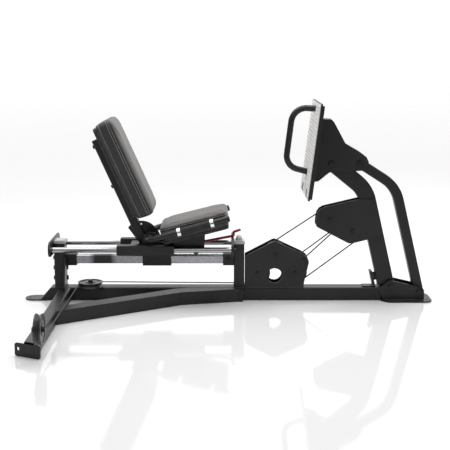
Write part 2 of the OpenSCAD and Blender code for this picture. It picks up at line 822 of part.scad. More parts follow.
sleeve = [-1253, -1001];         // X of the rail sleeves
sleeve_s = 46;
frame_y = rail_y - sleeve_s / 2; // inner face of the sleeves
beam_top = 265;
handle_at = [-1110, 303];        // handle crossbar, X and Z
handle_tilt = 15.5;
handle_tube_r = 14;
lever_pivot = [-1000, 262];
pin_r = 5;
stop_r = 63;                     // recline holes' distance from the recline pivot
sector_r = 78;

module carriage_sleeves() {
    color(black) for (s = [-1, 1]) along_x(sleeve[0], sleeve[1], s * rail_y, rail_z)
        box_section(sleeve_s, sleeve_s, 3);
}

// Square bushes in both ends of the sleeves, each with a collar outside.
module rail_bushes() {
    in_s = sleeve_s - 6;
    color(rubber) for (s = [-1, 1], x = [[sleeve[0], 0], [sleeve[1] - 40, 40]]) {
        along_x(x[0], x[0] + 40, s * rail_y, rail_z) difference() {
            round_rect(in_s, in_s, 3);
            circle(rail_d / 2 + running);
        }
        along_x(x[0] + (x[1] > 0 ? 40 : -4), x[0] + (x[1] > 0 ? 44 : 0), s * rail_y, rail_z) difference() {
            round_rect(sleeve_s - 2, sleeve_s - 2, 5);
            circle(rail_d / 2 + running);
        }
    }
}

module carriage_frame() {
    beam = 40;
    color(black) difference() {
        union() {
            for (x = [-1200, -1060]) translate([x, -frame_y, beam_top - beam])
                cube([beam, 2 * frame_y, beam]);
            translate([-1200, -frame_y, beam_top - beam - 6]) cube([186, 2 * frame_y, 6]);
            plate_pair(frame_y - 6, frame_y)
                polygon([[-1152, 260], [-1134, 312], [-1118, 325], [-1085, 325], [-1066, 284],
                         seat_rear, seat_rear + 187 * [cos(seat_tilt), sin(seat_tilt)],
                         [-860, 252], [-1014, 246], [-1020, 260]]);
            // recline sector on the centre plane, in front of the backrest
            side_plate(-4, 4) intersection() {
                translate(back_pivot) circle(sector_r, $fn = 96);
                translate(back_pivot) rotate(back_lean + 12) translate([-24, -200]) square([200, 400]);
                translate([-1300, beam_top]) square([300, 200]);
            }
            pin_y(lever_pivot, pin_r, -frame_y + 3, frame_y - 3);
        }
        pin_y(back_pivot, pivot_r + running, -5, 5);
        pin_y(handle_at, handle_tube_r, -frame_y - 1, frame_y + 1);
        for (a = [back_lean - 20 : 10 : back_lean])
            pin_y(back_pivot + stop_r * lean_dir(a), pin_r + 0.3, -5, 5);
    }
}

module bar_slider() {
    slide_s = bar_s + 1;
    color(black) difference() {
        translate([-1146, -27, 162]) cube([132, 54, beam_top - 46 - 162]);
        translate([-1147, -slide_s / 2, bar_z - slide_s / 2]) cube([134, slide_s, slide_s]);
    }
}

module pin_housing() {
    color(black) difference() {
        union() {
            translate([lock_x, 0, 214]) cylinder(r = 11, h = 42);
            translate([lock_x - 20, -frame_y + 6, 252]) cube([40, 2 * frame_y - 12, 5]);
        }
        translate([lock_x, 0, 200]) cylinder(r = pin_r + running, h = 80);
    }
}

module release_lever() {
    r = 6;
    color([0.45, 0.06, 0.06]) difference() {
        union() {
            pin_y(lever_pivot, 10, -9, 9);
            leaning(lever_pivot, -86.3)
                run_bar([[134.4, 60, 7.4], [127.9, 8, 88.9], [2.6, 8, -80.6], [29.2, 0, 0]], r);
            side_plate(-14, 14) polygon([[-928, 262.7], [-872, 266.3], [-872, 274.3], [-928, 270.7]]);
        }
        pin_y(lever_pivot, pin_r + running, -15, 15);
        translate([lock_x - 12, -6.5, 240]) cube([24, 13, 60]);
    }
}

// Lifted clear of the bar's holes; it drops into one as the lever goes down.
module lock_pin() {
    tip_z = bar_z + bar_s / 2 + 0.5;
    head_z = 273.4;
    color("silver") {
        translate([lock_x, 0, tip_z]) cylinder(r = pin_r, h = head_z - tip_z);
        translate([lock_x, 0, head_z]) cylinder(r = 9, h = 7);
    }
}

// Frame of the U-shaped handle: X runs along its branches from the crossbar.
module in_handle() {
    translate([handle_at[0], 0, handle_at[1]]) rotate([0, -handle_tilt, 0]) children();
}
handle_y = 153;                  // branches' distance from the centre plane
handle_bend = 45;

module seat_handle() {
    module ring() {
        difference() {
            circle(handle_tube_r);
            circle(handle_tube_r - 2.5);
        }
    }
    color(black) in_handle() for (s = [0, 1]) mirror([0, s, 0]) {
        rotate([-90, 0, 0]) linear_extrude(handle_y - handle_bend) ring();
        translate([handle_bend, handle_y - handle_bend, 0]) rotate([0, 0, 90])
            rotate_extrude(angle = 90) translate([handle_bend, 0]) ring();
        translate([handle_bend, handle_y, 0]) rotate([0, 90, 0]) linear_extrude(374 - handle_bend) ring();
    }
}

// Sleeve on both branches of the handle between two distances from the crossbar.
module on_branches(x0, x1, r) {
    in_handle() for (s = [-1, 1]) translate([x0, s * handle_y, 0]) rotate([0, 90, 0])
        linear_extrude(x1 - x0) difference() {
            circle(r);
            circle(handle_tube_r);
        }
}

module handle_grips() { color(rubber) on_branches(152, 289, 18); }

module grip_collars() {
    color("white") {
        on_branches(136, 152, 20);
        on_branches(289, 305, 20);
    }
}

// Cushion block centred on Z with its base at Z = 0, rounded in side view and in plan.
module cushion(size, side_r, plan_r) {
    intersection() {
        translate([0, size[1] / 2, size[2] / 2]) rotate([90, 0, 0]) linear_extrude(size[1])
            round_rect(size[0], size[2], side_r);
        linear_extrude(size[2]) round_rect(size[0], size[1], plan_r);
    }
}

board_t = 12;

// Frame of the seat: X up along it, Z out of its face, from the board's lower rear edge.
module in_seat() {
    translate([seat_rear[0], 0, seat_rear[1]]) rotate([0, -seat_tilt, 0]) children();
}

module seat_board() {
    color(black) in_seat() translate([151, 0, 0]) linear_extrude(board_t) round_rect(302, 236, 20);
}

module seat_pad() {
    color([0.2, 0.2, 0.21]) in_seat() translate([seat_pad_size[0] / 2 - 5, 0, board_t])
        cushion(seat_pad_size, 14, 20);
}

// ---------- backrest ----------

upright_s = [40, 50];            // section of the backrest's upright, in its plane and across
upright_len = 496;
slot = 4.6;                      // half width of the slot for the recline sector
back_pad_from = 90;              // where the pad starts above the recline pivot
back_bolt_at = [270, 468];

module back_upright() {
    color(black) difference() {
        union() {
            leaning(back_pivot, back_lean) linear_extrude(upright_len)
                round_rect(upright_s[0], upright_s[1], 6);
            pin_y(back_pivot, upright_s[0] / 2, -upright_s[1] / 2, upright_s[1] / 2);
            pin_y(back_pivot + stop_r * lean_dir(back_lean), 10, 20, 36);
        }
        leaning(back_pivot, back_lean) {
            translate([0, 0, 25]) linear_extrude(upright_len - 28)
                round_rect(upright_s[0] - 6, upright_s[1] - 6, 3);
            for (z = back_bolt_at) translate([-50, 0, z]) rotate([0, 90, 0]) cylinder(r = axle_r, h = 100);
        }
        pin_y(back_pivot, sector_r + 6, -slot, slot);
        pin_y(back_pivot, pivot_r, -50, 50);
        pin_y(back_pivot + stop_r * lean_dir(back_lean), pin_r + running, 0, 50);
    }
}

// Frame of the backrest: X up along it, Z out of its front face, from the pivot.
module in_back() {
    translate([back_pivot[0], 0, back_pivot[1]]) rotate([0, 90 - back_lean, 0]) mirror([1, 0, 0]) children();
}

module back_board() {
    color(black) in_back() difference() {
        translate([back_pad_from + back_pad_size[0] / 2, 0, upright_s[0] / 2])
            linear_extrude(board_t) round_rect(440, 236, 20);
        for (x = back_bolt_at) translate([x, 0, 0]) cylinder(r = axle_r, h = 60);
    }
}

module back_pad() {
    color([0.2, 0.2, 0.21]) in_back()
        translate([back_pad_from + back_pad_size[0] / 2, 0, upright_s[0] / 2 + board_t])
            cushion(back_pad_size, 14, 20);
}

// The bolts that hold the board, and the one the backrest turns on.
module back_bolts() {
    color(black) {
        in_back() for (x = back_bolt_at) translate([x, 0, -upright_s[0] / 2])
            hex_bolt(axle_r, upright_s[0] + board_t - 2, nut = 0);
        bolt_y(back_pivot, pivot_r, -upright_s[1] / 2, upright_s[1] / 2);
    }
}

// Pull pin, drawn out of the sector's holes.
module recline_pin() {
    at = back_pivot + stop_r * lean_dir(back_lean);
    color("silver") {
        pin_y(at, pin_r, 6, 52);
        pin_y(at, 11, 52, 72);
    }
}

// ---------- what is drawn ----------

main_base_tube();
rear_base_tube();
brace_tube();
cross_tube();
joint_flanges();
link_bracket();
rear_foot_plate();
pivot_foot_plate();
pivot_side_plates();
base_pivot_bolts();
stop_bracket();
stop_rubber();
rear_post();
post_caps();
post_gusset();
front_upright();
rail_end_plates();
guide_rails();
adjuster_bar();
bar_brackets();
frame_bolts();
pulley_box_plates();
pulley_bolts();
base_cable();
arm_cable_runs();
lower_rear_pulley();
upper_base_pulley();
lower_front_pulley();
turning_pulley();
side_pulley_wheel();
arm_rear_pulley();
arm_front_pulley();
front_arm();
front_arm_bushes();
arm_pulley_plates();
arm_pulley_bolts();
arm_cable();
rear_arm();
foot_carriage();
foot_plate();
foot_tread();
grab_handle();
foot_pivot_bolts();
carriage_sleeves();
rail_bushes();
carriage_frame();
bar_slider();
pin_housing();
release_lever();
lock_pin();
seat_handle();
handle_grips();
grip_collars();
seat_board();
seat_pad();
back_upright();
back_board();
back_pad();
back_bolts();
recline_pin();
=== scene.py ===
"""Finish and soft goods of the leg press machine, on its CAD frame.

Everything is in metres, in the row frame: X from the seat towards the foot plate, Y across the
machine and Z up. The CAD nodes keep their shapes and get materials. The two pads, the rubber
grips and the cable runs that move with the arm are replaced by meshes made here.
"""
import json
import math
import random

import bmesh
import bpy
import numpy as np
from mathutils import Matrix, Vector
from mathutils.bvhtree import BVHTree


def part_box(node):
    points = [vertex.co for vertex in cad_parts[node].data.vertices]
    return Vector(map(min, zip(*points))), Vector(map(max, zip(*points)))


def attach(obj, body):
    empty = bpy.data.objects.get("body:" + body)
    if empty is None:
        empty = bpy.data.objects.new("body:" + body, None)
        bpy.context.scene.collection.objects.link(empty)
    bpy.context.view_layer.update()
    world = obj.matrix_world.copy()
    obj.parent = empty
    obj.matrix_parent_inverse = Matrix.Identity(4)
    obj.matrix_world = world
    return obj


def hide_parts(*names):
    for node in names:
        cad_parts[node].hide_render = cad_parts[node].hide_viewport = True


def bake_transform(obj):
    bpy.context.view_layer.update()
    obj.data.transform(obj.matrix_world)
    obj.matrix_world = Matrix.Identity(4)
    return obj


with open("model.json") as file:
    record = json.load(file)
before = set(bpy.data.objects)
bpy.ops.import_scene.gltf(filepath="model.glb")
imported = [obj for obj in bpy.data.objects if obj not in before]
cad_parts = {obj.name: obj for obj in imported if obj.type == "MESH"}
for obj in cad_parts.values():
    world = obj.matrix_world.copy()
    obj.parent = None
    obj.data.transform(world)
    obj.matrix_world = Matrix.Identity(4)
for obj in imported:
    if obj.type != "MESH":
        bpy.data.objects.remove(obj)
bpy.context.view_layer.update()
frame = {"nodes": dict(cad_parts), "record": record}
NODES = frame["nodes"]
MM = 0.001

SEAT_TILT = math.radians(14.5)
BACK_LEAN = math.radians(24.0)
HANDLE_TILT = math.radians(15.5)
FOOT_LEAN = math.radians(7.0)


# ---------- node materials ----------

class Nodes:
    """Short names for the node tree of one new material."""

    def __init__(self, name, edge_mm=0.0):
        self.material = bpy.data.materials.new(name)
        self.material.use_nodes = True
        self.tree = self.material.node_tree
        self.bsdf = self.tree.nodes["Principled BSDF"]
        self.coords = self.tree.nodes.new("ShaderNodeTexCoord").outputs["Object"]
        self.normal = None
        if edge_mm:
            bevel = self.add("ShaderNodeBevel", samples=4)
            bevel.inputs["Radius"].default_value = edge_mm * MM
            self.normal = bevel.outputs["Normal"]
            self.tree.links.new(self.normal, self.bsdf.inputs["Normal"])

    def add(self, kind, **settings):
        node = self.tree.nodes.new(kind)
        for key, value in settings.items():
            setattr(node, key, value)
        return node

    def set(self, **values):
        """Principled inputs by name, with _ for a space."""
        for key, value in values.items():
            socket = self.bsdf.inputs[key.replace("_", " ")]
            if hasattr(value, "links"):
                self.tree.links.new(value, socket)
            elif isinstance(value, tuple) and len(value) == 3:
                socket.default_value = (*value, 1.0)
            else:
                socket.default_value = value

    def scaled(self, x=1.0, y=1.0, z=1.0):
        """The object's coordinates stretched along each axis."""
        mapping = self.add("ShaderNodeMapping")
        mapping.inputs["Scale"].default_value = (x, y, z)
        self.tree.links.new(self.coords, mapping.inputs["Vector"])
        return mapping.outputs["Vector"]

    def noise(self, scale, detail=3.0, rough=0.5, vector=None):
        node = self.add("ShaderNodeTexNoise")
        node.inputs["Scale"].default_value = scale
        node.inputs["Detail"].default_value = detail
        node.inputs["Roughness"].default_value = rough
        self.tree.links.new(vector or self.coords, node.inputs["Vector"])
        return node.outputs["Fac"]

    def cells(self, scale, feature="F1", vector=None, output="Distance"):
        node = self.add("ShaderNodeTexVoronoi", feature=feature)
        node.inputs["Scale"].default_value = scale
        self.tree.links.new(vector or self.coords, node.inputs["Vector"])
        return node.outputs[output]

    def spread(self, value, low, high, start=0.0, end=1.0):
        """Maps a value from start..end to low..high."""
        node = self.add("ShaderNodeMapRange")
        self.tree.links.new(value, node.inputs["Value"])
        for key, number in (("From Min", start), ("From Max", end), ("To Min", low), ("To Max", high)):
            node.inputs[key].default_value = number
        return node.outputs["Result"]

    def mix(self, factor, a, b):
        """Colour between a and b."""
        node = self.add("ShaderNodeMix", data_type="RGBA")
        for socket, value in ((node.inputs["Factor"], factor), (node.inputs[6], a), (node.inputs[7], b)):
            if hasattr(value, "links"):
                self.tree.links.new(value, socket)
            else:
                socket.default_value = (*value, 1.0) if isinstance(value, tuple) else value
        return node.outputs[2]

    def maths(self, operation, a, b):
        node = self.add("ShaderNodeMath", operation=operation)
        for socket, value in zip(node.inputs, (a, b)):
            if hasattr(value, "links"):
                self.tree.links.new(value, socket)
            else:
                socket.default_value = value
        return node.outputs[0]

    def axis(self, index):
        """One of the object's coordinates, in metres."""
        node = self.add("ShaderNodeSeparateXYZ")
        self.tree.links.new(self.coords, node.inputs[0])
        return node.outputs[index]

    def bump(self, height, depth_mm, strength=1.0):
        """Relief on top of what the normal already is."""
        node = self.add("ShaderNodeBump")
        node.inputs["Strength"].default_value = strength
        node.inputs["Distance"].default_value = depth_mm * MM
        self.tree.links.new(height, node.inputs["Height"])
        if self.normal is not None:
            self.tree.links.new(self.normal, node.inputs["Normal"])
        self.normal = node.outputs["Normal"]
        self.tree.links.new(self.normal, self.bsdf.inputs["Normal"])


def powder_coat(name, colour, edge_mm=1.2, gloss=0.42):
    """Satin powder coat: fine orange peel, faint cloudiness and softened edges."""
    m = Nodes(name, edge_mm=edge_mm)
    cloud = m.noise(9.0, 4.0)
    pale = tuple(min(1.0, c * 1.5 + 0.004) for c in colour)
    base = m.mix(m.spread(cloud, 0.0, 0.55, 0.35, 0.7), colour, pale)
    m.set(Base_Color=base, Specular_IOR_Level=0.42,
          Roughness=m.spread(m.noise(140.0, 2.0), gloss - 0.05, gloss + 0.08, 0.3, 0.7))
    m.bump(m.noise(900.0, 2.0, 0.6), 0.05, 0.35)
    return m.material


def black_oxide(name):
    """Blackened bolt steel with a dull metal shine."""
    m = Nodes(name, edge_mm=0.5)
    patch = m.spread(m.noise(220.0, 3.0), 0.0, 1.0, 0.35, 0.7)
    m.set(Base_Color=m.mix(patch, (0.018, 0.018, 0.02), (0.05, 0.05, 0.053)), Metallic=0.75,
          Roughness=m.spread(patch, 0.28, 0.42))
    m.bump(m.noise(1500.0, 2.0), 0.03, 0.3)
    return m.material


def chrome(name):
    """Polished rail with hairline marks along X."""
    m = Nodes(name)
    lines = m.noise(1.0, 4.0, 0.6, m.scaled(12.0, 1600.0, 1600.0))
    m.set(Base_Color=m.mix(lines, (0.3, 0.3, 0.31), (0.52, 0.52, 0.535)), Metallic=1.0,
          Roughness=m.spread(lines, 0.1, 0.22, 0.3, 0.7))
    m.bump(lines, 0.01, 0.25)
    return m.material


def bright_steel(name, colour=(0.68, 0.68, 0.7), gloss=0.16):
    """Turned bright steel or chrome with fine rings."""
    m = Nodes(name, edge_mm=0.4)
    rings = m.noise(1.0, 3.0, 0.5, m.scaled(900.0, 900.0, 60.0))
    m.set(Base_Color=colour, Metallic=1.0, Roughness=m.spread(rings, gloss, gloss + 0.14, 0.3, 0.7))
    m.bump(rings, 0.01, 0.2)
    return m.material


def galvanised(name, band=None):
    """Zinc with soft spangle, and an optional plain dark band between two X positions."""
    m = Nodes(name, edge_mm=0.8)
    spangle = m.cells(170.0, vector=m.scaled(1.0, 1.2, 1.2), output="Color")
    grey = m.add("ShaderNodeRGBToBW")
    m.tree.links.new(spangle, grey.inputs[0])
    shade = m.maths("ADD", m.maths("MULTIPLY", grey.outputs[0], 0.5), m.maths("MULTIPLY", m.noise(60.0), 0.5))
    base = m.mix(m.spread(shade, 0.0, 1.0, 0.25, 0.75), (0.42, 0.43, 0.45), (0.66, 0.67, 0.69))
    rough = m.spread(shade, 0.32, 0.5, 0.2, 0.8)
    metal = 0.85
    if band:
        x = m.axis(0)
        soft = 0.014
        inside = m.maths("MULTIPLY", m.spread(x, 0.0, 1.0, band[0] - soft, band[0] + soft),
                         m.spread(x, 1.0, 0.0, band[1] - soft, band[1] + soft))
        base = m.mix(inside, base, (0.03, 0.03, 0.032))
        metal = m.spread(inside, 0.85, 0.0)
    m.set(Base_Color=base, Roughness=rough, Metallic=metal)
    m.bump(m.noise(420.0, 3.0), 0.04, 0.3)
    return m.material


def moulded(name, colour, gloss, grain=600.0, edge_mm=0.8):
    """Moulded plastic with a fine spark-eroded grain and slight shade changes."""
    m = Nodes(name, edge_mm=edge_mm)
    dark = tuple(c * 0.86 for c in colour)
    m.set(Base_Color=m.mix(m.spread(m.noise(24.0, 4.0), 0.0, 1.0, 0.3, 0.7), dark, colour),
          Roughness=m.spread(m.noise(grain, 2.0), gloss - 0.06, gloss + 0.06, 0.3, 0.7))
    m.bump(m.noise(grain * 2, 2.0), 0.05, 0.35)
    return m.material


def rubbery(name, colour=(0.018, 0.018, 0.019)):
    m = Nodes(name, edge_mm=0.6)
    dust = m.spread(m.noise(30.0, 5.0, 0.6), 0.0, 0.5, 0.45, 0.8)
    m.set(Base_Color=m.mix(dust, colour, (0.05, 0.049, 0.047)), Roughness=0.62, Specular_IOR_Level=0.35)
    m.bump(m.cells(900.0), 0.12, 0.5)
    return m.material


def cable_coat(name):
    """Black nylon over wire: the strands show as a slanting ripple in the relief, and painted shade darkens
    the ripple's grooves.
    """
    m = Nodes(name)
    wave = m.add("ShaderNodeTexWave", wave_type="BANDS", bands_direction="DIAGONAL")
    wave.inputs["Scale"].default_value = 190.0
    wave.inputs["Distortion"].default_value = 0.4
    m.tree.links.new(m.coords, wave.inputs["Vector"])
    # Painted shade: the colour follows the ripple, darker where the bump is low.
    m.set(Base_Color=m.mix(wave.outputs["Fac"], (0.008, 0.008, 0.009), (0.02, 0.02, 0.022)), Roughness=0.45,
          Coat_Weight=0.15, Coat_Roughness=0.2)
    m.bump(wave.outputs["Fac"], 0.25, 0.6)
    return m.material


def tread_paint(name):
    """Light grey paint, a little scuffed by shoes."""
    m = Nodes(name, edge_mm=0.6)
    scuff = m.spread(m.noise(38.0, 6.0, 0.65, m.scaled(1.0, 1.0, 0.35)), 0.0, 1.0, 0.5, 0.75)
    m.set(Base_Color=m.mix(scuff, (0.72, 0.705, 0.69), (0.65, 0.635, 0.62)),
          Roughness=m.spread(scuff, 0.5, 0.7))
    m.bump(m.noise(700.0, 3.0), 0.08, 0.4)
    return m.material


def painted_ply(name):
    """Plywood painted black, with the grain just showing."""
    m = Nodes(name, edge_mm=1.0)
    grain = m.noise(1.0, 5.0, 0.6, m.scaled(14.0, 220.0, 220.0))
    m.set(Base_Color=m.mix(m.spread(grain, 0.0, 1.0, 0.35, 0.7), (0.014, 0.013, 0.013), (0.04, 0.038, 0.036)),
          Roughness=0.6)
    m.bump(grain, 0.3, 0.5)
    return m.material


def vinyl(name, colour, gloss):
    """Leather-grain upholstery vinyl: pebbled cells, fine creases with painted shade darkening their lines,
    and worn sheen.
    """
    m = Nodes(name)
    pebble = m.cells(620.0, "SMOOTH_F1")
    crease_and_shade = m.cells(300.0, "DISTANCE_TO_EDGE", m.scaled(1.0, 1.25, 1.0))
    shade = m.spread(m.noise(13.0, 5.0, 0.6), 0.0, 1.0, 0.35, 0.7)
    dark = tuple(c * 0.8 for c in colour)
    base = m.mix(shade, dark, colour)
    # Painted shade: the colour darkens to 0.45 of itself along the crease lines.
    base = m.mix(m.spread(crease_and_shade, 0.35, 0.0, 0.0, 0.06), base, tuple(c * 0.45 for c in colour))
    m.set(Base_Color=base, Roughness=m.spread(pebble, gloss - 0.06, gloss + 0.1), Sheen_Weight=0.15,
          Sheen_Roughness=0.5, Specular_IOR_Level=0.5)
    m.bump(m.spread(crease_and_shade, 0.0, 1.0, 0.0, 0.12), 0.35, 0.45)
    m.bump(pebble, 0.22, 0.45)
    m.bump(m.noise(2400.0, 2.0), 0.03, 0.3)
    return m.material


BAR_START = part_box("adjuster_bar")[0][0]
BAND = (BAR_START + 112 * MM, BAR_START + 212 * MM)    # the bar's plain dark stretch

FINISH = {
    "frame_black": powder_coat("frame_powder_coat", (0.0105, 0.0105, 0.0112), gloss=0.36),
    "pivot_black": black_oxide("black_oxide_bolts"),
    "rail_chrome": chrome("polished_rail"),
    "bar_zinc": galvanised("galvanised_bar", BAND),
    "pulley_grey": moulded("pulley_nylon", (0.022, 0.022, 0.023), 0.3),
    "cap_grey": moulded("cap_plastic", (0.5, 0.5, 0.51), 0.3),
    "cable_black": cable_coat("cable_coat"),
    "rubber": rubbery("grip_rubber"),
    "bush": moulded("bush_plastic", (0.02, 0.02, 0.02), 0.4),
    "bronze": moulded("sintered_bronze", (0.3, 0.17, 0.07), 0.4),
    "tread_grey": tread_paint("tread_paint"),
    "lever_red": powder_coat("lever_red_paint", (0.26, 0.014, 0.016), 0.5, 0.3),
    "pin_steel": bright_steel("pin_steel"),
    "collar_white": bright_steel("collar_chrome", (0.86, 0.86, 0.85), 0.14),
    "board": painted_ply("painted_plywood"),
    "upholstery": vinyl("vinyl_side", (0.022, 0.022, 0.023), 0.46),
}
# Painted sheen: the pads' face vinyl is the side vinyl made lighter, standing in for the overhead light on
# the faces.
FACE_VINYL_PAINTED_SHEEN = vinyl("vinyl_face_painted_sheen", (0.1, 0.0925, 0.088), 0.5)
THREAD = moulded("stitch_thread", (0.55, 0.54, 0.53), 0.6, 1500.0, 0.0)
WELD = powder_coat("weld_bead_paint", (0.02, 0.02, 0.021), 0.2, 0.36)

for part in frame["record"]["subparts"]:
    obj = NODES[part["node"]]
    obj.data.materials.clear()
    obj.data.materials.append(FINISH[part["material_slot"]])


# ---------- mesh helpers ----------

def new_object(name, verts, faces, material, smooth=True):
    mesh = bpy.data.meshes.new(name)
    mesh.from_pydata([tuple(v) for v in verts], [], faces)
    mesh.materials.append(material)
    for polygon in mesh.polygons:
        polygon.use_smooth = smooth
    mesh.update()
    obj = bpy.data.objects.new(name, mesh)
    bpy.context.scene.collection.objects.link(obj)
    return obj


def finished(obj, body, slot, *replaced):
    """The piece rides on its body, and the CAD parts it replaces are hidden; slot is not used."""
    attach(obj, body)
    if replaced:
        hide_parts(*replaced)


def sweep(points, radii, sides=12, closed=False):
    """Verts and faces of a round tube through the points; radii may change along it."""
    points = [Vector(p) for p in points]
    count = len(points)
    radii = radii if hasattr(radii, "__len__") else [radii] * count
    verts, faces = [], []
    side = None
    for i, p in enumerate(points):
        ahead = points[(i + 1) % count] if closed or i + 1 < count else p
        behind = points[i - 1] if closed or i else p
        along = (ahead - behind).normalized()
        if side is None:
            side = along.orthogonal().normalized()
        side = (side - along * side.dot(along)).normalized()
        other = along.cross(side)
        verts += [p + (side * math.cos(a) + other * math.sin(a)) * radii[i]
                  for a in (2 * math.pi * k / sides for k in range(sides))]
    for i in range(count if closed else count - 1):
        a, b = i * sides, (i + 1) % count * sides
        faces += [(a + k, a + (k + 1) % sides, b + (k + 1) % sides, b + k) for k in range(sides)]
    if not closed:
        faces += [tuple(range(sides - 1, -1, -1)), tuple(range((count - 1) * sides, count * sides))]
    return verts, faces


def merged(parts):
    """One vertex and face list from several."""
    verts, faces = [], []
    for v, f in parts:
        faces += [tuple(i + len(verts) for i in face) for face in f]
        verts += list(v)
    return verts, faces


def axes_matrix(x, z, origin):
    """Local frame with X along x, Z along z."""
    x, z = Vector(x), Vector(z)
    y = z.cross(x)
    m = Matrix((x, y, z)).transposed().to_4x4()
    m.translation = Vector(origin)
    return m


def tilted_frame(angle):
    """Local frame leaning by angle from level: X up the slope, Z square to it."""
    return axes_matrix((math.cos(angle), 0, math.sin(angle)),
                       (-math.sin(angle), 0, math.cos(angle)), (0, 0, 0))


def local_extent(node, matrix):
    """A CAD node's box in a local frame."""
    inverse = np.array(matrix.inverted())
    co = np.array([v.co for v in NODES[node].data.vertices])
    co = co @ inverse[:3, :3].T + inverse[:3, 3]
    return co.min(0), co.max(0)


# ---------- pads ----------

CORNER_STEPS = 8          # straight pieces in each corner of a pad's outline
PLAN_R = 30 * MM          # corner radius of a pad seen from above
INFLATE_FRAMES = 20


def rounded_outline(length, width, radius, step):
    """Points and outward normals round a rounded rectangle, evenly spaced."""
    hx, hy = length / 2 - radius, width / 2 - radius
    corners = [(hx, hy, 0), (-hx, hy, 90), (-hx, -hy, 180), (hx, -hy, 270)]
    raw = []
    for cx, cy, start in corners:
        for k in range(CORNER_STEPS + 1):
            a = math.radians(start + 90 * k / CORNER_STEPS)
            raw.append((cx + radius * math.cos(a), cy + radius * math.sin(a), math.cos(a), math.sin(a)))
    raw.append(raw[0])
    raw = np.array(raw)
    run = np.concatenate([[0], np.cumsum(np.hypot(*np.diff(raw[:, :2], axis=0).T))])
    count = int(round(run[-1] / step))
    at = np.arange(count) * run[-1] / count
    return np.stack([np.interp(at, run, raw[:, k]) for k in range(4)], 1)


def padded_block(name, size, plan_r, edge_r, taper):
    """Closed block, Z from 0 to its thickness, whose base is drawn in by taper all round."""
    length, width, thick = size
    base_r = edge_r * 0.6
    spacing = 12 * MM
    rings = []
    levels = 14
    for i in range(levels + 1):
        t = i / levels
        z = t * thick
        inset = taper * (1 - t) ** 2
        for edge in (base_r - z, z - (thick - edge_r)):
            if edge > 0:
                r = base_r if z < thick / 2 else edge_r
                inset += r - math.sqrt(max(r * r - edge * edge, 0.0))
        rings.append((z, inset))
    verts, faces, count = [], [], 0
    for z, inset in rings:
        ring = rounded_outline(length - 2 * inset, width - 2 * inset, plan_r, spacing)
        if not count:
            count = len(ring)
        pick = ring[np.linspace(0, len(ring), count, endpoint=False).astype(int)]
        verts += [(x, y, z) for x, y in pick[:, :2]]
    for i in range(levels):
        a, b = i * count, (i + 1) * count
        faces += [(a + k, a + (k + 1) % count, b + (k + 1) % count, b + k) for k in range(count)]
    faces += [tuple(range(count - 1, -1, -1)), tuple(range(levels * count, (levels + 1) * count))]
    return new_object(name, verts, faces, FINISH["upholstery"])


def apply_modifiers(obj):
    """Replaces the object's mesh with what its modifiers make of it."""
    graph = bpy.context.evaluated_depsgraph_get()
    mesh = bpy.data.meshes.new_from_object(obj.evaluated_get(graph))
    obj.modifiers.clear()
    obj.data = mesh


def inflate(obj, held, most):
    """Cloth under pressure. held marks the vertices the seams and board hold still, most is how
    far each vertex may move."""
    rest = np.array([v.co for v in obj.data.vertices])
    group = obj.vertex_groups.new(name="held")
    group.add([int(i) for i in np.nonzero(held(rest))[0]], 1.0, "REPLACE")
    cloth = obj.modifiers.new("cloth", "CLOTH")
    cloth.settings.quality = 5
    cloth.settings.mass = 0.3
    cloth.settings.tension_stiffness = cloth.settings.compression_stiffness = 20
    cloth.settings.bending_stiffness = 2
    cloth.settings.use_pressure = True
    cloth.settings.uniform_pressure_force = 4
    cloth.settings.effector_weights.gravity = 0
    cloth.settings.vertex_group_mass = "held"
    cloth.point_cache.frame_start, cloth.point_cache.frame_end = 1, INFLATE_FRAMES
    scene = bpy.context.scene
    for frame_number in range(1, INFLATE_FRAMES + 1):
        scene.frame_set(frame_number)
    blown = obj.evaluated_get(bpy.context.evaluated_depsgraph_get())
    moved = np.array([v.co for v in blown.data.vertices])
    obj.modifiers.remove(cloth)
    scene.frame_set(1)
    push = moved - rest
    far = np.linalg.norm(push, axis=1, keepdims=True)
    cap = most(rest)[:, None]
    push *= cap * np.tanh(far / cap) / np.maximum(far, 1e-9)
    obj.data.vertices.foreach_set("co", (rest + push).ravel())
    obj.data.update()


def relax(obj, rounds, free):
    """Evens out the mesh where free is true."""
    bm = bmesh.new()
    bm.from_mesh(obj.data)
    co = np.array([v.co for v in bm.verts])
    loose = [v for v, ok in zip(bm.verts, free(co)) if ok]
    for _ in range(rounds):
        bmesh.ops.smooth_vert(bm, verts=loose, factor=0.5, use_axis_x=True, use_axis_y=True, use_axis_z=True)
    bm.to_mesh(obj.data)
    bm.free()


def stitch_row(surface, outline, z, name):
    """Short threads on the surface all round the outline at height z."""
    half, r = 2.4 * MM, 0.7 * MM
    reach = 60 * MM
    parts = []
    for x, y, nx, ny in outline:
        normal = Vector((nx, ny, 0))
        hit, out, _, _ = surface.ray_cast(Vector((x, y, z)) + normal * reach, -normal, 2 * reach)
        if hit is None:
            continue
        along = Vector((-ny, nx, 0)).normalized()
        stations = [hit + along * s * half + out * lift * MM
                    for s, lift in ((-1, -0.5), (-0.75, 0.15), (0, 0.45), (0.75, 0.15), (1, -0.5))]
        parts.append(sweep(stations, [r * 0.6, r, r, r, r * 0.6], 6))
    return new_object(name, *merged(parts), THREAD)


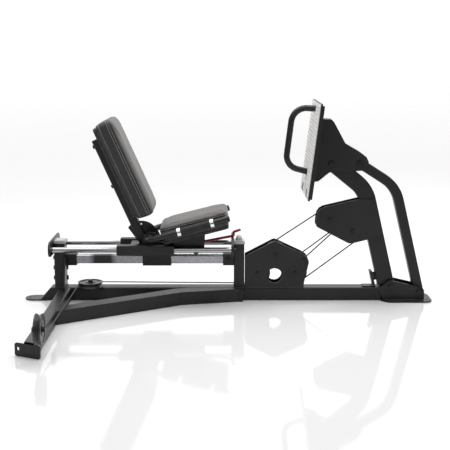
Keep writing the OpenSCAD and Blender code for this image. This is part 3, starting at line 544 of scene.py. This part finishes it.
def build_pad(name, node, body, matrix, taper, seams, crown, slope):
    """A sewn pad in the place of a CAD block. seams are the heights of its seams as shares of the
    thickness, each with the offsets of its rows of stitches; slope is how far the face falls
    towards the two ends."""
    low, high = local_extent(node, matrix)
    length, width, thick = high - low
    centre = (low + high) / 2
    size = (length - 1 * MM, width - 1 * MM, thick + 1 * MM)
    face_from = 0.87 * size[2]
    side_band, side_bulge = 18 * MM, 4.5 * MM
    groove_depth = groove_half = 1.9 * MM
    flat_share = 0.72
    pad = padded_block(name, size, PLAN_R, 10 * MM, taper)
    pad.modifiers.new("voxels", "REMESH").voxel_size = 5 * MM
    apply_modifiers(pad)
    levels = [share * size[2] for share, _ in seams]

    def on_side(co):
        return ((np.abs(co[:, 0]) > size[0] / 2 - side_band)
                | (np.abs(co[:, 1]) > size[1] / 2 - side_band))

    def above_seam(co):
        """0 at the top seam and below, 1 at the face."""
        return np.clip((co[:, 2] - levels[0]) / (size[2] - levels[0]), 0, 1)

    def held(co):
        base = co[:, 2] < 4 * MM
        for z in levels:
            base |= (np.abs(co[:, 2] - z) < 2.6 * MM) & on_side(co)
        return base

    def most(co):
        return side_bulge + (crown - side_bulge) * above_seam(co)

    relax(pad, 2, lambda co: np.ones(len(co), bool))
    inflate(pad, held, most)
    relax(pad, 2, lambda co: co[:, 2] > 6 * MM)
    smooth = pad.modifiers.new("smooth", "SUBSURF")
    smooth.levels = smooth.render_levels = 1
    apply_modifiers(pad)

    # seams drawn in, the face falling to its ends, light puckers beside each seam
    mesh = pad.data
    co = np.array([v.co for v in mesh.vertices])
    sides = on_side(co) & (co[:, 2] > 3 * MM)
    outline_n = np.zeros_like(co)
    hx, hy = size[0] / 2 - PLAN_R, size[1] / 2 - PLAN_R
    outline_n[:, 0] = np.sign(co[:, 0]) * np.maximum(np.abs(co[:, 0]) - hx, 0)
    outline_n[:, 1] = np.sign(co[:, 1]) * np.maximum(np.abs(co[:, 1]) - hy, 0)
    outline_n /= np.maximum(np.linalg.norm(outline_n, axis=1, keepdims=True), 1e-9)
    on_end = np.abs(co[:, 0]) / size[0] > np.abs(co[:, 1]) / size[1]
    round_pos = np.where(on_end, co[:, 1], co[:, 0])
    for z in levels:
        d = co[:, 2] - z
        groove = groove_depth * np.exp(-(d / groove_half) ** 2)
        pucker = 0.5 * MM * np.exp(-np.abs(d) / (9 * MM)) * np.sin(round_pos / (17 * MM) * 2 * np.pi)
        co -= outline_n * ((groove + pucker) * sides)[:, None]
    fall = np.clip(np.abs(co[:, 0]) / (size[0] / 2) - flat_share, 0, 1) / (1 - flat_share)
    co[:, 2] -= slope * fall ** 2 * above_seam(co)
    mesh.vertices.foreach_set("co", co.ravel())
    mesh.update()

    mesh.materials.clear()
    mesh.materials.append(FINISH["upholstery"])
    mesh.materials.append(FACE_VINYL_PAINTED_SHEEN)
    # Polygons above face_from take the face vinyl, lightened as painted sheen.
    for polygon in mesh.polygons:
        polygon.material_index = int(polygon.center.z > face_from)
        polygon.use_smooth = True

    surface = BVHTree.FromPolygons([v.co for v in mesh.vertices],
                                   [tuple(p.vertices) for p in mesh.polygons])
    outline = rounded_outline(size[0], size[1], PLAN_R, 7.2 * MM)
    place = matrix @ Matrix.Translation((centre[0], centre[1], low[2]))
    rows = []
    for (share, offsets), z in zip(seams, levels):
        for k, offset in enumerate(offsets):
            row_name = f"{name}_stitches_{int(share * 100)}_{k}"
            rows.append(stitch_row(surface, outline, z + offset * MM, row_name))
    for obj in [pad] + rows:
        obj.data.transform(place)
        obj.data.update()
    finished(pad, body, "upholstery", node)
    for obj in rows:
        finished(obj, body, "upholstery")


seat_frame = tilted_frame(SEAT_TILT)
back_frame = axes_matrix((-math.sin(BACK_LEAN), 0, math.cos(BACK_LEAN)),
                         (math.cos(BACK_LEAN), 0, math.sin(BACK_LEAN)), (0, 0, 0))
build_pad("seat_cushion", "seat_pad", "seat_carriage", seat_frame,
          taper=6 * MM, seams=[(0.7, (-5.0, 5.0))], crown=5 * MM, slope=2 * MM)
build_pad("back_cushion", "back_pad", "backrest", back_frame,
          taper=6 * MM, seams=[(0.7, (-5.0, 5.0)), (0.26, (-4.0,))], crown=5 * MM, slope=2 * MM)


# ---------- grips ----------

def lathe(profile, sides):
    """Closed ring of the given (distance along, radius) outline round the X axis."""
    verts, faces = [], []
    for k in range(sides):
        a = 2 * math.pi * k / sides
        verts += [(s, r * math.cos(a), r * math.sin(a)) for s, r in profile]
    n = len(profile)
    for k in range(sides):
        a, b = k * n, (k + 1) % sides * n
        faces += [(a + i, b + i, b + (i + 1) % n, a + (i + 1) % n) for i in range(n)]
    return verts, faces


handle_frame = tilted_frame(HANDLE_TILT)


def on_both_branches(name, profile, sides, start, low, high, radius, material):
    """The turned profile on both branches of the handle, from start along them."""
    parts = []
    for side in (-1, 1):
        y = side * (high[1] - radius)
        verts, faces = lathe(profile, sides)
        parts.append(([(v[0] + start, v[1] + y, v[2] + (low[2] + high[2]) / 2) for v in verts], faces))
    obj = new_object(name, *merged(parts), material)
    obj.data.transform(handle_frame)
    return obj


def build_grips():
    """Ribbed rubber sleeves with rolled ends on both branches of the handle."""
    low, high = local_extent("handle_grips", handle_frame)
    bore = 14.02 * MM
    outer = (high[2] - low[2]) / 2
    length = high[0] - low[0]
    ribs = int(length / (6.5 * MM))
    profile = [(0.3 * MM, bore), (0.3 * MM, outer - 1 * MM), (1.2 * MM, outer), (4 * MM, outer),
               (5 * MM, outer - 1.2 * MM)]
    for i in range(1, ribs - 1):
        for share, depth in ((0.0, 1.5), (0.25, 0.5), (0.5, 0.3), (0.75, 0.5)):
            profile.append((length * (i + share) / ribs, outer - depth * MM))
    profile += [(length - 5 * MM, outer - 1.2 * MM), (length - 4 * MM, outer), (length - 1.2 * MM, outer),
                (length - 0.3 * MM, outer - 1 * MM), (length - 0.3 * MM, bore)]
    grips = on_both_branches("ribbed_grips", profile, 40, low[0], low, high, outer, FINISH["rubber"])
    finished(grips, "seat_carriage", "rubber", "handle_grips")


def build_handle_plugs():
    """Domed plugs in the open ends of the seat handle's tube."""
    low, high = local_extent("seat_handle", handle_frame)
    r = (high[2] - low[2]) / 2
    outline_mm = [(-8, 0.0), (-8, 11.2), (0.1, 11.2), (0.1, 13.8), (1.5, 13.9), (3.0, 13.0),
                  (4.2, 10.5), (5.0, 6.0), (5.2, 0.0)]
    profile = [(s * MM, max(q, 0.02) * MM) for s, q in outline_mm]
    plugs = on_both_branches("handle_end_plugs", profile, 32, high[0], low, high, r, FINISH["bush"])
    finished(plugs, "seat_carriage", "bush")


build_grips()
build_handle_plugs()


# ---------- foot plate tread ----------

foot_frame = axes_matrix((math.sin(FOOT_LEAN), 0, math.cos(FOOT_LEAN)),
                         (-math.cos(FOOT_LEAN), 0, math.sin(FOOT_LEAN)), (0, 0, 0))


def build_studs():
    """Rows of low raised studs over the tread, left out round the handle and the cut-outs."""
    low, high = local_extent("foot_tread", foot_frame)
    tread = NODES["foot_tread"].data
    inverse = foot_frame.inverted()
    surface = BVHTree.FromPolygons([inverse @ v.co for v in tread.vertices],
                                   [tuple(p.vertices) for p in tread.polygons])
    pitch, r, tall = 17 * MM, 4.2 * MM, 1.5 * MM
    margin = r * 1.3
    rings = [(1.0, 0.0), (0.82, 0.75), (0.45, 1.0)]
    sides = 10
    parts = []
    rows = int((high[0] - low[0]) / pitch) - 1
    for i in range(rows + 1):
        x = (low[0] + high[0]) / 2 + (i - rows / 2) * pitch
        count = int((high[1] - low[1]) / pitch) - 1 - i % 2
        for k in range(count + 1):
            y = (k - count / 2) * pitch
            around = [Vector((x + margin * cx, y + margin * cy, high[2] + 10 * MM))
                      for cx, cy in ((1, 0), (-1, 0), (0, 1), (0, -1))]
            if not all(surface.ray_cast(point, Vector((0, 0, -1)), 12 * MM)[0] for point in around):
                continue
            verts = [(x + r * s * math.cos(a), y + r * s * math.sin(a), high[2] - 0.1 * MM + tall * t)
                     for s, t in rings for a in (2 * math.pi * j / sides for j in range(sides))]
            faces = [(a + j, a + (j + 1) % sides, b + (j + 1) % sides, b + j)
                     for a, b in ((0, sides), (sides, 2 * sides)) for j in range(sides)]
            faces += [tuple(range(2 * sides, 3 * sides)), tuple(range(sides - 1, -1, -1))]
            parts.append((verts, faces))
    studs = new_object("tread_studs", *merged(parts), FINISH["tread_grey"])
    studs.data.transform(foot_frame)
    finished(studs, "foot_carriage", "tread_grey")


build_studs()


# ---------- cable runs between the arm and the base ----------

def build_runs():
    """Each straight run as a fine tube, drawn from its end away from the arm's pulleys to the end near them.
    """
    pieces = 60
    bm = bmesh.new()
    bm.from_mesh(NODES["arm_cable_runs"].data)
    bmesh.ops.remove_doubles(bm, verts=bm.verts, dist=1e-6)
    loose, runs = set(bm.verts), []
    while loose:
        stack, island = [loose.pop()], []
        while stack:
            v = stack.pop()
            island.append(v.co.copy())
            for e in v.link_edges:
                other = e.other_vert(v)
                if other in loose:
                    loose.discard(other)
                    stack.append(other)
        runs.append(np.array(island))
    bm.free()
    arm_wheels = [np.mean(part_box(n), axis=0) for n in ("arm_rear_pulley", "arm_front_pulley")]
    for i, co in enumerate(sorted(runs, key=lambda c: (c[:, 0].mean(), c[:, 2].mean()))):
        centre = co.mean(0)
        along = np.linalg.svd(co - centre, full_matrices=False)[2][0]
        reach = (co - centre) @ along
        ends = [centre + along * reach.min(), centre + along * reach.max()]
        radius = np.linalg.norm(np.cross(co - centre, along), axis=1).max() + 0.4 * MM
        ends.sort(key=lambda p: min(np.linalg.norm(p - w) for w in arm_wheels), reverse=True)
        stations = [Vector(ends[0]).lerp(Vector(ends[1]), k / pieces) for k in range(pieces + 1)]
        run = new_object(f"cable_run_{i + 1}", *sweep(stations, radius, 14), FINISH["cable_black"])
        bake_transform(run)
        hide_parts("arm_cable_runs")


build_runs()


# ---------- welds ----------

def weld(name, body, paths, size=2.6 * MM):
    """Rippled weld beads along the paths, each a list of points or a closed ring of them."""
    rng = random.Random(7)
    parts = []
    for points, closed in paths:
        points = [Vector(p) for p in points]
        if closed:
            points.append(points[0])
        stations = []
        for a, b in zip(points, points[1:]):
            steps = max(2, int((b - a).length / (1.5 * MM)))
            stations += [a.lerp(b, k / steps) for k in range(steps)]
        if not closed:
            stations.append(points[-1])
        radii = [size * (0.86 + 0.14 * math.cos(k * 2.1) + rng.uniform(-0.05, 0.05))
                 for k in range(len(stations))]
        parts.append(sweep(stations, radii, 8, closed))
    finished(new_object(name, *merged(parts), WELD), body, "frame_black")


def ring_at(node, z):
    """The outline of an upright node's box at height z."""
    low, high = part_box(node)
    return [(low[0], low[1], z), (high[0], low[1], z), (high[0], high[1], z), (low[0], high[1], z)]


def seam_along_x(x_from, x_to, y, z):
    """An open path for weld()."""
    return [(x_from, y, z), (x_to, y, z)], False


base_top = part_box("main_base_tube")[1][2]
plate_low, plate_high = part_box("pulley_box_plates")
gusset_low, gusset_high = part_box("post_gusset")
floor_plate_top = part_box("pivot_foot_plate")[1][2]
side_low, side_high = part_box("pivot_side_plates")
proud = 0.5 * MM
weld("base_welds", "base", [
    (ring_at("front_upright", base_top), True),
    (ring_at("rear_post", base_top), True),
    *[seam_along_x(plate_low[0] + 4 * MM, plate_high[0] - 30 * MM, y, base_top)
      for y in (plate_low[1], plate_high[1])],
    ([(gusset_high[0], gusset_low[1], base_top), (gusset_high[0], gusset_high[1], base_top)], False),
    *[seam_along_x(side_low[0] + 30 * MM, side_high[0], y, floor_plate_top)
      for y in (side_low[1] - proud, side_high[1] + proud)],
])
sleeve_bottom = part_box("carriage_sleeves")[0][2]
frame_low, frame_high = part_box("carriage_frame")
weld("carriage_welds", "seat_carriage", [
    ([(frame_low[0], y, sleeve_bottom + 2 * MM), (frame_low[0], y, sleeve_bottom + 38 * MM)], False)
    for y in (frame_low[1], frame_high[1])], 2.2 * MM)


# ---------- floor, light and camera ----------

SKY = 1.05            # world strength from above
BACKDROP = 1.06       # from behind the machine
FRONT_GLOW = 0.022    # from everywhere else
CAMERA_BACK = 4.631
CAMERA_UP = 1.174
CAMERA_PITCH = math.radians(10.117)


def floor_material():
    """Glossy white studio floor, faintly uneven."""
    m = Nodes("studio_floor")
    m.set(Base_Color=(0.8, 0.8, 0.8), Specular_IOR_Level=0.5,
          Roughness=m.spread(m.noise(3.0, 3.0), 0.04, 0.07))
    return m.material


def area_light(name, at, size, power, aim):
    """A white rectangular light that points at aim."""
    light = bpy.data.lights.new(name, "AREA")
    light.shape, light.size, light.size_y = "RECTANGLE", size[0], size[1]
    light.energy = power
    obj = bpy.data.objects.new(name, light)
    obj.location = at
    obj.rotation_euler = (Vector(aim) - Vector(at)).to_track_quat("-Z", "Y").to_euler()
    bpy.context.scene.collection.objects.link(obj)


def studio_world():
    """White to the camera. To everything else it is bright above and behind and dim in front."""
    world = bpy.data.worlds.new("studio")
    world.use_nodes = True
    tree = world.node_tree
    back = tree.nodes["Background"]

    def add(kind, *inputs, **settings):
        node = tree.nodes.new(kind)
        for key, value in settings.items():
            setattr(node, key, value)
        for socket, value in zip(node.inputs, inputs):
            if hasattr(value, "links"):
                tree.links.new(value, socket)
            else:
                socket.default_value = value
        return node.outputs

    direction = add("ShaderNodeSeparateXYZ", tree.nodes.new("ShaderNodeTexCoord").outputs["Generated"])

    def rise(value, start, end, top):
        outputs = add("ShaderNodeMapRange", value, start, end, 0.0, top,
                      interpolation_type="SMOOTHSTEP")
        return outputs["Result"]

    above = rise(direction["Z"], 0.22, 0.6, SKY)
    behind = rise(direction["Y"], 0.05, 0.5, BACKDROP)
    glow = add("ShaderNodeMath", above, behind, operation="MAXIMUM")[0]
    glow = add("ShaderNodeMath", glow, FRONT_GLOW, operation="ADD")[0]
    seen = tree.nodes.new("ShaderNodeLightPath").outputs["Is Camera Ray"]
    glow = add("ShaderNodeMath", glow, seen, operation="MAXIMUM")[0]
    tree.links.new(glow, back.inputs["Strength"])
    back.inputs["Color"].default_value = (1, 1, 1, 1)
    bpy.context.scene.world = world


floor = new_object("studio_floor", [(-40, -40, 0), (40, -40, 0), (40, 60, 0), (-40, 60, 0)], [(0, 1, 2, 3)],
                   floor_material(), False)
floor.location.z = -0.5 * MM
studio_world()
middle = (-0.75, 0.0, 0.4)
area_light("overhead", (-0.7, 0.2, 3.2), (3.6, 1.6), 62, middle)
area_light("key", (-3.4, -2.6, 2.6), (1.4, 1.4), 8, middle)
area_light("rim", (2.2, 2.4, 2.2), (1.5, 1.5), 22, middle)

camera = bpy.data.objects.new("camera", bpy.data.cameras.new("camera"))
camera.data.lens = 81.6
camera.data.sensor_width = 36
camera.location = (-0.766, -CAMERA_BACK, CAMERA_UP)
camera.rotation_euler = (math.pi / 2 - CAMERA_PITCH, 0, 0)
bpy.context.scene.collection.objects.link(camera)
bpy.context.scene.camera = camera
bpy.context.scene.view_settings.view_transform = "Standard"
